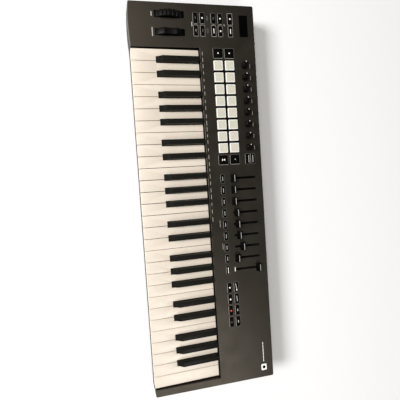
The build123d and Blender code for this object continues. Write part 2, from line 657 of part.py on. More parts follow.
def make_potentiometers():
    """Eight rotary potentiometers: body on the board, bush through the panel, round shaft."""
    pots = []
    for index in range(KNOB_COUNT):
        body = Pos(0, 0, -7.75) * Box(*POT_BODY)
        bush = Pos(0, 0, -2.2) * Cylinder(*POT_BUSH)
        shaft = Pos(0, 0, 5) * Cylinder(POT_SHAFT_R, 12)
        place = on_panel(KNOB_X0 + index * KNOB_PITCH, KNOB_Y)
        pots.append(place * (body + bush + shaft))
    return Compound(pots)


def make_fader_cap(index):
    """A saddle-shaped cap with a raised crest across it, on a flat stem."""
    width, depth, height = FADER_CAP
    y = FADER_START_Y + FADER_REST[index]
    half = depth / 2
    low, waist = FADER_FOOT
    crest = FADER_CREST_HALF
    side = [(-half - 1, low), (half + 1, low), (half, waist), (crest, height), (-crest, height), (-half, waist)]
    cap = profile_x(side, -width / 2, width / 2)
    stem = Pos(0, 0, -2.5) * Box(*FADER_STEM)
    return on_panel(FADER_X0 + index * FADER_PITCH, y) * (cap + stem)


def make_fader_bodies():
    """Nine slide potentiometers, each a slotted box under its panel slot."""
    bodies = []
    middle = FADER_START_Y + FADER_TRAVEL / 2
    for index in range(FADER_COUNT):
        frame = Pos(0, 0, -7.5) * Box(*FADER_BODY)
        slot = Pos(0, 0, -6) * Box(*FADER_TRACK)
        bodies.append(on_panel(FADER_X0 + index * FADER_PITCH, middle) * (frame - slot))
    return Compound(bodies)


def make_display_window():
    width, depth, x, y = DISPLAY
    return on_panel(x, y) * tablet(width, depth, -1.3, -0.1, 0.9)


def make_display_module():
    width, depth, x, y = DISPLAY
    return on_panel(x, y) * (Pos(0, 0, -6.8) * Box(width + 4, depth + 4, 8.4)) - on_panel(x, y) * (
        Pos(0, 0, -2.6) * Box(width - 6, depth - 6, 1.2))


def make_panel_board():
    """The board under the deck, parallel to it, with a tongue below the left buttons."""
    low, high = BOARD_LIFT
    deck = Pos(0, 0, (low + high) / 2)
    main = on_panel(DECK_BOARD[0], DECK_BOARD[1]) * deck * Box(DECK_BOARD[2], DECK_BOARD[3], high - low)
    tongue = on_panel(BOARD_TONGUE[0], BOARD_TONGUE[1]) * deck * Box(BOARD_TONGUE[2], BOARD_TONGUE[3], high - low)
    return main + tongue


# ---------------- Sockets ----------------

PEDAL_Z = MAIN_BOARD_Z[1] + 6.5
MIDI_Z = MAIN_BOARD_Z[1] + MIDI_BODY[2] / 2


def make_main_board():
    return block(*MAIN_BOARD_X, *MAIN_BOARD_Y, *MAIN_BOARD_Z)


def make_usb_socket():
    """Square device-side USB shell with its tongue."""
    width, length, height = USB_SHELL
    back = DEPTH / 2 - 0.5
    z = MAIN_BOARD_Z[1] + height / 2
    shell = Pos(USB_X, back - length / 2, z) * Box(width, length, height)
    mouth = Pos(USB_X, back - 5, z) * Box(USB_MOUTH[0], 11, USB_MOUTH[1])
    tongue = Pos(USB_X, back - 6.4, z) * Box(5.6, 9, 3.2)
    return shell - mouth + tongue


def make_pedal_socket():
    """Nylon-bodied 6.35 mm jack with its round nose in the rear wall."""
    nose_y = DEPTH / 2
    body = block(PEDAL_X - 8, PEDAL_X + 8, nose_y - 31, nose_y - 3, MAIN_BOARD_Z[1], MAIN_BOARD_Z[1] + 13)
    nose = Pos(PEDAL_X, nose_y - 2.5, PEDAL_Z) * Rot(90, 0, 0) * Cylinder(5.0, 4.4)
    bore = Pos(PEDAL_X, nose_y + 1 - (PEDAL_BORE_LENGTH + 1) / 2, PEDAL_Z)
    bore = bore * Rot(90, 0, 0) * Cylinder(PEDAL_BORE_R, PEDAL_BORE_LENGTH + 1)
    return body + nose - bore


def make_midi_socket():
    """Five-pin DIN socket: block body, round nose, ring groove and pin holes."""
    width, length, height = MIDI_BODY
    nose_y = DEPTH / 2 - 0.4
    body = block(MIDI_X - width / 2, MIDI_X + width / 2, nose_y - 3 - length, nose_y - 3,
                 MAIN_BOARD_Z[1], MAIN_BOARD_Z[1] + height)
    face = Location((MIDI_X, nose_y, MIDI_Z), (-90, 0, 0))
    nose = face * Pos(0, 0, -2) * Cylinder(8.0, 4)
    groove = face * Pos(0, 0, -4) * (Cylinder(6.8, 8.2) - Cylinder(6.0, 8.2))
    holes = []
    for step in range(5):
        angle = radians(-90 + step * 45)
        holes.append(face * Pos(4.4 * sin(angle), 4.4 * cos(angle), -4) * Cylinder(0.8, 8.2))
    return body + nose - groove - holes


def main():
    os.makedirs("parts", exist_ok=True)
    save("bottom_case", make_bottom_case())
    save("top_panel", make_top_panel())
    save("rubber_feet", make_feet())
    save("case_screws", make_case_screws())

    for kind, name in (("cegb", "naturals_cegb"), ("dfa", "naturals_dfa"), ("sharps", "sharps")):
        comb = make_comb(kind)
        for octave in range(OCTAVES):
            place = Pos(KEYS_X0 + octave * OCTAVE, 0, 0)
            save(f"{name}_{octave + 1}", place * comb)
    save("natural_top_c", Pos(KEYS_X0 + OCTAVES * OCTAVE, 0, 0) * make_top_c())

    save("keybed_chassis", make_chassis())
    save("key_contact_board", make_contact_board())
    save("key_contact_rubber", make_contact_rubber())
    save("key_springs", make_key_springs())
    save("key_felts", make_key_felts())

    for name, x in WHEEL_X.items():
        save(name, Pos(x, WHEEL_Y, WHEEL_Z) * make_wheel(name == "pitch_wheel"))
    save("wheel_bracket", make_wheel_bracket())
    save("wheel_axle", make_wheel_axle())

    for name in BUTTON_GROUPS:
        save(name, make_button_mat(name))
    for index in range(KNOB_COUNT):
        save(f"knob_{index + 1}", make_knob(index))
    save("potentiometers", make_potentiometers())
    for index in range(FADER_COUNT):
        save(f"fader_cap_{index + 1}", make_fader_cap(index))
    save("fader_bodies", make_fader_bodies())
    save("display_window", make_display_window())
    save("display_module", make_display_module())
    save("panel_board", make_panel_board())

    save("main_board", make_main_board())
    save("usb_socket", make_usb_socket())
    save("pedal_socket", make_pedal_socket())
    save("midi_socket", make_midi_socket())


main()
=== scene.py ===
"""The looks of the MIDI keyboard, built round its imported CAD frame. Lengths are in metres."""
import json
import math
import random

import bmesh
import bpy
from mathutils import Matrix, Vector

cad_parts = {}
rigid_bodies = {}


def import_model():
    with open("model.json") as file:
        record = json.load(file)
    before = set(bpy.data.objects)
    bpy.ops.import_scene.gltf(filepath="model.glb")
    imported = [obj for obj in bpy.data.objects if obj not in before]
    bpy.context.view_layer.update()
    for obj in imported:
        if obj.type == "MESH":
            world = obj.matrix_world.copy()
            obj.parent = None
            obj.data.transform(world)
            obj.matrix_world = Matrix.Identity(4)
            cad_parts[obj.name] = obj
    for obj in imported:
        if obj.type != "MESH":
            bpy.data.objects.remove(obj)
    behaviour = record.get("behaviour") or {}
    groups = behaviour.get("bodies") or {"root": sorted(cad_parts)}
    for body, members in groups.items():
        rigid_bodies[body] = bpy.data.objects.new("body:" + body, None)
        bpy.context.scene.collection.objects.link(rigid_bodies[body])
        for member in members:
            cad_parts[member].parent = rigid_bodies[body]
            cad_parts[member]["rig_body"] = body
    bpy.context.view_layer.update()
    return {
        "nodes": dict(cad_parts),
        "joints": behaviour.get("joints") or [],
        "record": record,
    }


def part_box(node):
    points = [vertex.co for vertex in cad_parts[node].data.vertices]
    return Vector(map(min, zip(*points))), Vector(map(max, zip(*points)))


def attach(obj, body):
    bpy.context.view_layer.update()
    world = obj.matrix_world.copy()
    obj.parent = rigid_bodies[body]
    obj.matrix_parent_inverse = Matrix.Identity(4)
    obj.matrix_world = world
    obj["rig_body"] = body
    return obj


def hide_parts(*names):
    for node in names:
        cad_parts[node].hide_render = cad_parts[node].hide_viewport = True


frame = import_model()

MM = 0.001

NODES = frame["nodes"]
RECORD = frame["record"]
JOINTS = {joint["name"]: joint for joint in frame["joints"]}
SLOT_OF = {part["node"]: part["material_slot"] for part in RECORD["subparts"]}

# The deck is a plane: its normal is the knobs' axis, and a knob's pivot lies on it.
NORMAL = Vector(JOINTS["knob_1_turn"]["axis"]).normalized()
ALONG = Vector((1, 0, 0)).cross(NORMAL) * -1
DECK_POINT = Vector(JOINTS["knob_1_turn"]["pos_m"])

# Camera
CAMERA_AT = Vector((-0.0321, -0.1827, 0.7248))
CAMERA_LOOK = Vector((0.04628, 0.25019, -0.96709))
CAMERA_UP = Vector((-0.99678, 0.07497, -0.02831))
CAMERA_LENS_MM = 30.35
SENSOR_MM = 36.0

# How far sharp edges are rounded over
WHITE_KEY_ROUND = 0.35 * MM
BLACK_KEY_ROUND = 0.4 * MM
WHEEL_ROUND = 0.5 * MM
CAP_ROUND = 0.45 * MM
BUTTON_ROUND = 0.2 * MM

# Tops of pads and buttons stand at least this far above the deck
PAD_TOP = 0.5 * MM
BUTTON_TOP = 0.8 * MM

# Pads: how much narrower than the CAD shape, corner radius, and the skirt and web under the panel
PAD_TRIM = 0.45 * MM
PAD_CORNER = 1.3 * MM
PAD_SKIRT = -3.9 * MM
WEB_TOP = -3.8 * MM
WEB_LOW = -4.8 * MM

# Knobs: the pale dot's distance from the axis and radius (a painted highlight that also stands for the
# pointer), the flutes, and the steps round the cap
POINTER_HIGHLIGHT_REACH = 4.0 * MM
POINTER_HIGHLIGHT_R = 1.25 * MM
FLUTES = 24
FLUTE_DEPTH = 0.022
KNOB_STEPS = 96

# Fader caps: the line along the crest
CREST_LINE = 1.05 * MM
CREST_ENDS = 2.6 * MM

# Printing round buttons: gap between a button and its hole in millimetres, and how much wider
# the frame of a framed button is
HOLE_EDGE = 0.95
FRAME_EXTRA = 1.2 * MM

# Painted shade round a fader slot, a black ring: how far in front of the tracks' middle it sits, and the
# ring as width, depth, corner and line
SLOT_SHIFT = 0.45 * MM
SLOT_RING = (4.5 * MM, 54.2 * MM, 1.85 * MM, 0.8 * MM)

# Rows of marks: the wheels' labels, and the row behind the keys, measured from the keys' front
WHEEL_LABEL_Y = -0.083
NOTE_ROW_BACK = 0.142

# Black felt laid where there is only shade, painted shade: its thickness, and how deep the lips and the
# track cover lie under the deck
FELT_THICK = 0.3 * MM
STRIP_LIFT = -3.0 * MM
TRACK_LIFT = -7.9 * MM


def deck(x, y, lift=0.0):
    """The point over (x, y) on the deck, raised by lift along the deck's normal."""
    z = DECK_POINT.z - (NORMAL.y * (y - DECK_POINT.y)) / NORMAL.z
    return Vector((x, y, z)) + NORMAL * lift


def lift_of(point):
    """How far a point stands above the deck plane."""
    return (Vector(point) - DECK_POINT).dot(NORMAL)


# ---------------- Materials ----------------

class Shader:
    """A node material with a principled shader, in object coordinates."""

    def __init__(self, name):
        self.material = bpy.data.materials.new(name)
        self.material.use_nodes = True
        self.tree = self.material.node_tree
        self.shader = self.tree.nodes["Principled BSDF"]
        self.coords = self.tree.nodes.new("ShaderNodeTexCoord").outputs["Object"]

    def set(self, **values):
        for key, value in values.items():
            self.shader.inputs[key.replace("_", " ")].default_value = value
        return self

    def link(self, a, b):
        self.tree.links.new(a, b)

    def noise(self, scale, detail=3.0, stretch=None):
        node = self.tree.nodes.new("ShaderNodeTexNoise")
        node.inputs["Scale"].default_value = scale
        node.inputs["Detail"].default_value = detail
        source = self.coords
        if stretch:
            mapping = self.tree.nodes.new("ShaderNodeMapping")
            mapping.inputs["Scale"].default_value = stretch
            self.link(source, mapping.inputs["Vector"])
            source = mapping.outputs["Vector"]
        self.link(source, node.inputs["Vector"])
        return node.outputs["Fac"]

    def voronoi(self, scale):
        node = self.tree.nodes.new("ShaderNodeTexVoronoi")
        node.inputs["Scale"].default_value = scale
        self.link(self.coords, node.inputs["Vector"])
        return node.outputs["Distance"]

    def ramp(self, source, stops):
        node = self.tree.nodes.new("ShaderNodeValToRGB")
        elements = node.color_ramp.elements
        while len(elements) < len(stops):
            elements.new(0.5)
        for element, (place, colour) in zip(elements, stops):
            element.position = place
            element.color = tuple(colour) + (1.0,)
        self.link(source, node.inputs["Fac"])
        return node.outputs["Color"]

    def spread(self, source, low, high):
        node = self.tree.nodes.new("ShaderNodeMapRange")
        node.inputs["From Min"].default_value = 0.3
        node.inputs["From Max"].default_value = 0.7
        node.inputs["To Min"].default_value = low
        node.inputs["To Max"].default_value = high
        self.link(source, node.inputs["Value"])
        return node.outputs["Result"]

    def mix(self, factor, a, b):
        node = self.tree.nodes.new("ShaderNodeMix")
        node.data_type = "RGBA"
        self.link(factor, node.inputs["Factor"])
        for socket, value in ((node.inputs["A"], a), (node.inputs["B"], b)):
            if hasattr(value, "is_linked"):
                self.link(value, socket)
            else:
                socket.default_value = tuple(value) + (1.0,)
        return node.outputs["Result"]

    def colour(self, source):
        self.link(source, self.shader.inputs["Base Color"])
        return self

    def roughness(self, source):
        self.link(source, self.shader.inputs["Roughness"])
        return self

    def bump(self, height, strength, distance):
        node = self.tree.nodes.new("ShaderNodeBump")
        node.inputs["Strength"].default_value = strength
        node.inputs["Distance"].default_value = distance
        self.link(height, node.inputs["Height"])
        self.link(node.outputs["Normal"], self.shader.inputs["Normal"])
        return self


def tinted(colour, factor):
    return tuple(min(1.0, channel * factor) for channel in colour)


def moulded(name, colour, rough, grain=1400.0, depth=0.00008, drift=0.07, wear=0.0, fleck=0.10):
    """Moulded plastic or rubber: fine spark grain, slow tone drift and faint handling marks."""
    shader = Shader(name)
    slow = shader.noise(7.0, 4.0)
    fine = shader.noise(grain, 2.0)
    tone = shader.ramp(slow, [(0.3, tinted(colour, 1 - drift)), (0.7, tinted(colour, 1 + drift))])
    specks = shader.ramp(
        fine, [(0.35, tinted(colour, 1 - fleck)), (0.65, tinted(colour, 1 + fleck))])
    blend = shader.mix(shader.spread(shader.noise(60.0), 0.35, 0.65), tone, specks)
    shader.colour(blend)
    shader.roughness(shader.spread(shader.noise(24.0, 5.0), rough - 0.05 - wear, rough + 0.05))
    shader.bump(fine, 0.35, depth)
    return shader


def plastics():
    mats = {}
    shell = moulded("upper_case_plastic", (0.0100, 0.0086, 0.0065), 0.40, 1500.0, wear=0.03)
    shell.set(Specular_IOR_Level=0.7, Specular_Tint=(1.0, 0.88, 0.73, 1.0))
    mats["case_upper"] = shell
    mats["case_lower"] = moulded("lower_case_plastic", (0.007, 0.0065, 0.006), 0.6, 1300.0)
    mats["inner_plastic"] = moulded("inner_frame_plastic", (0.012, 0.012, 0.012), 0.55)
    mats["socket_plastic"] = moulded("socket_nylon", (0.02, 0.02, 0.02), 0.42)
    mats["display_frame"] = moulded("display_frame_plastic", (0.02, 0.02, 0.022), 0.5)
    for slot, name, colour, rough, shine in (
            ("knob_plastic", "knob_soft_plastic", (0.003, 0.0028, 0.0026), 0.40, 0.12),
            ("fader_plastic", "fader_cap_plastic", (0.0016, 0.0016, 0.0015), 0.38, 0.08),
            ("wheel_rubber", "wheel_rubber", (0.0035, 0.0032, 0.003), 0.5, 0.12),
            ("button_rubber", "button_rubber", (0.0016, 0.0016, 0.0015), 0.6, 0.05)):
        dark = moulded(name, colour, rough, 1600.0, wear=0.04)
        dark.set(Specular_IOR_Level=shine)
        mats[slot] = dark
    mats["foot_rubber"] = moulded("foot_rubber", (0.025, 0.025, 0.025), 0.8, 900.0)
    mats["contact_silicone"] = moulded("contact_silicone", (0.40, 0.40, 0.38), 0.5)
    return mats


def key_and_pad_materials():
    mats = {}
    ivory = moulded("white_key_plastic", (0.79, 0.705, 0.60), 0.30, 900.0, 0.00001,
                    drift=0.012, wear=0.02, fleck=0.012)
    ivory.set(Subsurface_Weight=0.06, Subsurface_Scale=0.002, Coat_Weight=0.15, Coat_Roughness=0.2)
    mats["key_white"] = ivory
    ebony = moulded("black_key_plastic", (0.0105, 0.0103, 0.0088), 0.34, 1600.0, 0.00004, wear=0.04)
    ebony.set(Specular_IOR_Level=0.07)
    mats["key_black"] = ebony

    pad = Shader("pad_silicone")
    mottled = pad.noise(420.0, 4.0)
    base = pad.ramp(mottled, [(0.3, (0.56, 0.545, 0.45)), (0.7, (0.68, 0.66, 0.56))])
    edge = pad.tree.nodes.new("ShaderNodeAttribute")
    edge.attribute_name = "rim"
    pad.colour(pad.mix(edge.outputs["Fac"], base, (0.93, 0.92, 0.86)))
    pad.roughness(pad.spread(pad.noise(40.0), 0.5, 0.62))
    pad.bump(mottled, 0.3, 0.00006)
    pad.set(Subsurface_Weight=0.12, Subsurface_Scale=0.003)
    mats["pad_silicone"] = pad
    return mats


def board_and_metals():
    mats = {}
    board = Shader("green_circuit_board")
    traces = board.voronoi(260.0)
    board.colour(board.ramp(traces, [(0.35, (0.012, 0.085, 0.035)), (0.5, (0.02, 0.14, 0.06))]))
    board.roughness(board.spread(board.noise(80.0), 0.3, 0.45))
    board.bump(traces, 0.3, 0.00005)
    mats["circuit_board"] = board

    steel = Shader("zinc_plated_steel")
    streaks = steel.noise(300.0, 4.0, (1.0, 8.0, 1.0))
    steel.colour(steel.ramp(streaks, [(0.3, (0.42, 0.42, 0.41)), (0.7, (0.62, 0.62, 0.60))]))
    steel.roughness(steel.spread(streaks, 0.25, 0.42)).set(Metallic=1.0)
    steel.bump(streaks, 0.2, 0.00002)
    mats["steel"] = steel

    stamped = Shader("stamped_component_metal")
    scuffs = stamped.noise(220.0, 4.0)
    stamped.colour(stamped.ramp(scuffs, [(0.3, (0.36, 0.36, 0.36)), (0.7, (0.52, 0.52, 0.52))]))
    stamped.roughness(stamped.spread(scuffs, 0.3, 0.5)).set(Metallic=1.0)
    stamped.bump(scuffs, 0.2, 0.00003)
    mats["component_metal"] = stamped
    return mats


def felts_and_glass():
    mats = {}
    felt = Shader("red_wool_felt")
    fibres = felt.noise(2600.0, 5.0, (1.0, 0.35, 1.0))
    felt.colour(felt.ramp(fibres, [(0.3, (0.16, 0.012, 0.012)), (0.7, (0.30, 0.03, 0.03))]))
    felt.roughness(felt.spread(fibres, 0.85, 0.98)).set(Sheen_Weight=0.5, Sheen_Roughness=0.5)
    felt.bump(fibres, 0.7, 0.0003)
    mats["felt"] = felt

    glass = Shader("display_glass")
    film = glass.noise(30.0, 5.0)
    glass.colour(glass.ramp(
        film, [(0.3, (0.0008, 0.0008, 0.0009)), (0.7, (0.0014, 0.0014, 0.0016))]))
    glass.roughness(glass.spread(film, 0.05, 0.13)).set(Specular_IOR_Level=0.06)
    mats["display_glass"] = glass

    # Black felt laid in the key bay, in the fader slots and round the pads, where there is only shade:
    # painted shade.
    painted_shade_felt = Shader("black_painted_shade_felt")
    pile = painted_shade_felt.noise(2400.0, 5.0)
    painted_shade_felt.colour(painted_shade_felt.ramp(
        pile, [(0.3, (0.0012, 0.0012, 0.0011)), (0.7, (0.0028, 0.0027, 0.0025))]))
    painted_shade_felt.roughness(painted_shade_felt.spread(pile, 0.9, 1.0)).set(Specular_IOR_Level=0.05)
    painted_shade_felt.bump(pile, 0.5, 0.0001)
    mats["painted_shade_felt"] = painted_shade_felt
    return mats


def inks():
    mats = {}
    mats["ink"] = printed("printed_pale_ink", (0.58, 0.555, 0.50))
    mats["ink_dim"] = printed("printed_dim_ink", (0.18, 0.172, 0.152))
    mats["black_print_and_shade"] = printed("black_print_and_painted_shade", (0.0012, 0.0012, 0.0011), 0.03)
    # The emission of these inks is painted light wherever they are printed on the deck, the knobs or the
    # fader caps.
    mats["ink_bright"] = glowing("glowing_bright_ink", (0.86, 0.85, 0.80), 0.25)
    mats["ink_pale_glow"] = glowing("pointer_ink", (0.46, 0.45, 0.42), 0.10)
    mats["ink_red"] = glowing("record_legend_lit", (0.60, 0.07, 0.035), 0.32)
    return mats


def printed(name, colour, shine=0.2):
    """Screen-printed ink, slightly patchy."""
    shader = Shader(name)
    cover = shader.noise(900.0, 4.0)
    shader.colour(shader.ramp(cover, [(0.35, tinted(colour, 0.78)), (0.65, colour)]))
    shader.roughness(shader.spread(cover, 0.45, 0.6)).set(Specular_IOR_Level=shine)
    shader.bump(cover, 0.2, 0.00002)
    return shader


def glowing(name, colour, strength):
    """Bright ink over a faint glow, as on a legend lit from behind. On the badge, the deck marks, the knob
    dots and the fader lines nothing lights it from behind, and the glow there is painted light.
    """
    shader = Shader(name)
    cover = shader.noise(1200.0, 3.0)
    shader.colour(shader.ramp(cover, [(0.3, tinted(colour, 0.9)), (0.7, colour)]))
    shader.roughness(shader.spread(cover, 0.4, 0.55))
    shader.set(Emission_Color=tuple(colour) + (1.0,), Emission_Strength=strength)
    return shader


def make_materials():
    """Every material by its slot or ink name."""
    groups = (plastics(), key_and_pad_materials(), board_and_metals(), felts_and_glass(), inks())
    return {name: shader.material for group in groups for name, shader in group.items()}


MATS = make_materials()


# ---------------- Piece helpers ----------------

def add_piece(name, mesh, body, slot, material=None, replaces=()):
    """Links a finished mesh as a piece of the object."""
    piece = bpy.data.objects.new(name, mesh)
    bpy.context.scene.collection.objects.link(piece)
    if not mesh.materials:
        mesh.materials.append(MATS[material or slot])
    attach(piece, body)
    if replaces:
        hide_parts(*replaces)


def shade(mesh, angle_deg=35.0):
    """Smooth shading, with edges sharper than the angle kept crisp."""
    limit = math.radians(angle_deg)
    work = bmesh.new()
    work.from_mesh(mesh)
    for face in work.faces:
        face.smooth = True
    for edge in work.edges:
        edge.smooth = len(edge.link_faces) == 2 and edge.calc_face_angle() < limit
    work.to_mesh(mesh)
    work.free()


def clean_copy(node):
    """The CAD node's mesh with its doubled corners joined and flat faces made whole."""
    work = bmesh.new()
    work.from_mesh(NODES[node].data)
    bmesh.ops.remove_doubles(work, verts=work.verts, dist=2e-6)
    bmesh.ops.dissolve_limit(work, angle_limit=math.radians(0.6), verts=work.verts, edges=work.edges)
    mesh = bpy.data.meshes.new(node + "_copy")
    work.to_mesh(mesh)
    work.free()
    return mesh


def softened(node, width, segments):
    """A copy of a CAD node with its sharp edges rounded over, shown in the node's place."""
    mesh = clean_copy(node)
    scratch = bpy.data.objects.new("scratch", mesh)
    bpy.context.scene.collection.objects.link(scratch)
    bevel = scratch.modifiers.new("round", "BEVEL")
    bevel.width = width
    bevel.segments = segments
    bevel.limit_method = "ANGLE"
    bevel.angle_limit = math.radians(28)
    bevel.miter_outer = "MITER_ARC"
    bevel.use_clamp_overlap = True
    depsgraph = bpy.context.evaluated_depsgraph_get()
    rounded = bpy.data.meshes.new_from_object(scratch.evaluated_get(depsgraph))
    rounded.name = node + "_rounded"
    bpy.data.objects.remove(scratch)
    rounded.materials.clear()
    shade(rounded, 40)
    add_piece(node + "_shell", rounded, NODES[node]["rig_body"], SLOT_OF[node], replaces=(node,))


def islands_on_top(node, low_lift):
    """Flat tops of a mat's buttons: (x, y, width, depth, lift) of each, from the CAD node's mesh."""
    work = bmesh.new()
    work.from_mesh(NODES[node].data)
    bmesh.ops.remove_doubles(work, verts=work.verts, dist=2e-6)
    tops = [face for face in work.faces
            if face.normal.dot(NORMAL) > 0.999 and lift_of(face.calc_center_median()) > low_lift]
    left = set(tops)
    found = []
    while left:
        stack = [left.pop()]
        group = []
        while stack:
            face = stack.pop()
            group.append(face)
            for edge in face.edges:
                for other in edge.link_faces:
                    if other in left:
                        left.remove(other)
                        stack.append(other)
        points = [v.co for f in group for v in f.verts]
        xs = [p.x for p in points]
        ys = [p.y for p in points]
        # The highest corner, as the order in which the faces are met changes from run to run.
        lift = max(lift_of(p) for p in points)
        found.append((
            (min(xs) + max(xs)) / 2, (min(ys) + max(ys)) / 2,
            max(xs) - min(xs), max(ys) - min(ys), lift,
        ))
    work.free()
    return sorted(found, key=lambda t: (round(t[0], 4), round(t[1], 4)))


# ---------------- Printed marks ----------------

class Marks:
    """Thin printed shapes on the deck or on a button, gathered into one mesh."""

    THICK = 0.00006

    def __init__(self):
        self.work = bmesh.new()

    def plate(self, outline, lift):
        """A thin plate from a list of (x, y) points on the deck."""
        top = [self.work.verts.new(deck(x, y, lift + self.THICK)) for x, y in outline]
        low = [self.work.verts.new(deck(x, y, lift - self.THICK)) for x, y in outline]
        self.work.faces.new(top)
        self.work.faces.new(list(reversed(low)))
        count = len(outline)
        for i in range(count):
            j = (i + 1) % count
            self.work.faces.new((low[i], low[j], top[j], top[i]))

    def bar(self, x, y, width, depth, lift=0.0):
        w, d = width / 2, depth / 2
        self.plate([(x - w, y - d), (x + w, y - d), (x + w, y + d), (x - w, y + d)], lift)

    def stroke(self, x0, y0, x1, y1, width, lift=0.0):
        """A straight stroke between two places, with square ends."""
        along = Vector((x1 - x0, y1 - y0)).normalized()
        side = Vector((-along.y, along.x)) * width / 2
        self.plate([(x0 - side.x, y0 - side.y), (x1 - side.x, y1 - side.y),
                    (x1 + side.x, y1 + side.y), (x0 + side.x, y0 + side.y)], lift)

    def disc(self, x, y, radius, lift=0.0, sides=20):
        turns = [2 * math.pi * i / sides for i in range(sides)]
        self.plate([(x + radius * math.cos(turn), y + radius * math.sin(turn)) for turn in turns], lift)

    def ring(self, x, y, width, depth, corner, line, lift=0.0):
        """A rounded rectangular outline of the given line width."""
        outer = rounded_outline(x, y, width, depth, corner)
        inner = rounded_outline(x, y, width - 2 * line, depth - 2 * line, max(corner - line, 0.0001))
        loops = []
        for points, height in ((outer, lift + self.THICK), (inner, lift + self.THICK),
                               (inner, lift - self.THICK), (outer, lift - self.THICK)):
            loops.append([self.work.verts.new(deck(px, py, height)) for px, py in points])
        count = len(outer)
        for a, b in ((0, 1), (1, 2), (2, 3), (3, 0)):
            for i in range(count):
                j = (i + 1) % count
                self.work.faces.new((loops[a][i], loops[a][j], loops[b][j], loops[b][i]))

    def finish(self, name, body, slot, material):
        bmesh.ops.recalc_face_normals(self.work, faces=self.work.faces)
        mesh = bpy.data.meshes.new(name)
        self.work.to_mesh(mesh)
        self.work.free()
        add_piece(name, mesh, body, slot, material)


def rounded_outline(x, y, width, depth, corner, steps=5):
    """Points round a rectangle with round corners, anticlockwise."""
    points = []
    for sx, sy, start in ((1, 1, 0), (-1, 1, 90), (-1, -1, 180), (1, -1, 270)):
        cx = x + sx * (width / 2 - corner)
        cy = y + sy * (depth / 2 - corner)
        for step in range(steps + 1):
            angle = math.radians(start + 90 * step / steps)
            points.append((cx + corner * math.cos(angle), cy + corner * math.sin(angle)))
    return points


# ---------------- Keys, wheels, caps ----------------

def make_keys():
    """Key mouldings with softly rounded edges."""
    for node in NODES:
        if node.startswith("natural"):
            softened(node, WHITE_KEY_ROUND, 3)
        elif node.startswith("sharps"):
            softened(node, BLACK_KEY_ROUND, 3)


def make_small_shells():
    """Wheels, fader caps and button mats with softly rounded edges."""
    for node in ("pitch_wheel", "mod_wheel"):
        softened(node, WHEEL_ROUND, 2)
    for node in NODES:
        if node.startswith("fader_cap"):
            softened(node, CAP_ROUND, 2)
        elif node.endswith("_buttons"):
            softened(node, BUTTON_ROUND, 2)


def make_pads(node):
    """Soft pads with a crowned top and a paler rim, in place of a CAD row."""
    tops = islands_on_top(node, PAD_TOP)
    low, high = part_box(node)
    work = bmesh.new()
    rim = work.verts.layers.float.new("rim")
    rings = ((1.0, -1.0), (1.0, 0.55), (0.985, 0.8), (0.955, 0.95), (0.9, 1.0), (0.8, 1.0), (0.4, 0.97))
    for x, y, width, depth, lift in tops:
        full_w, full_d = width - PAD_TRIM, depth - PAD_TRIM
        loops = []
        for scale, height in rings:
            inset = (1 - scale) * full_w / 2
            corner = max(PAD_CORNER - inset * 0.4, 0.35 * MM) if scale > 0.5 else 0.3 * MM
            points = rounded_outline(x, y, full_w - 2 * inset, full_d - 2 * inset, corner)
            raised = lift * height if height > 0 else PAD_SKIRT
            loop = []
            for px, py in points:
                vert = work.verts.new(deck(px, py, raised))
                vert[rim] = 1.0 if scale > 0.88 else 0.0
                loop.append(vert)
            loops.append(loop)
        count = len(loops[0])
        for lower, upper in zip(loops, loops[1:]):
            for i in range(count):
                j = (i + 1) % count
                work.faces.new((lower[i], lower[j], upper[j], upper[i]))
        work.faces.new(loops[-1])
        work.faces.new(list(reversed(loops[0])))
    y0, y1 = low.y + 0.2 * MM, high.y - 0.3 * MM
    web = [(low.x, y0), (high.x, y0), (high.x, y1), (low.x, y1)]
    top = [work.verts.new(deck(x, y, WEB_TOP)) for x, y in web]
    bottom = [work.verts.new(deck(x, y, WEB_LOW)) for x, y in web]
    work.faces.new(top)
    work.faces.new(list(reversed(bottom)))
    for i in range(4):
        j = (i + 1) % 4
        work.faces.new((bottom[i], bottom[j], top[j], top[i]))
    bmesh.ops.recalc_face_normals(work, faces=work.faces)
    mesh = bpy.data.meshes.new(node + "_soft")
    work.to_mesh(mesh)
    work.free()
    shade(mesh, 50)
    add_piece(node + "_soft", mesh, node, "pad_silicone", replaces=(node,))


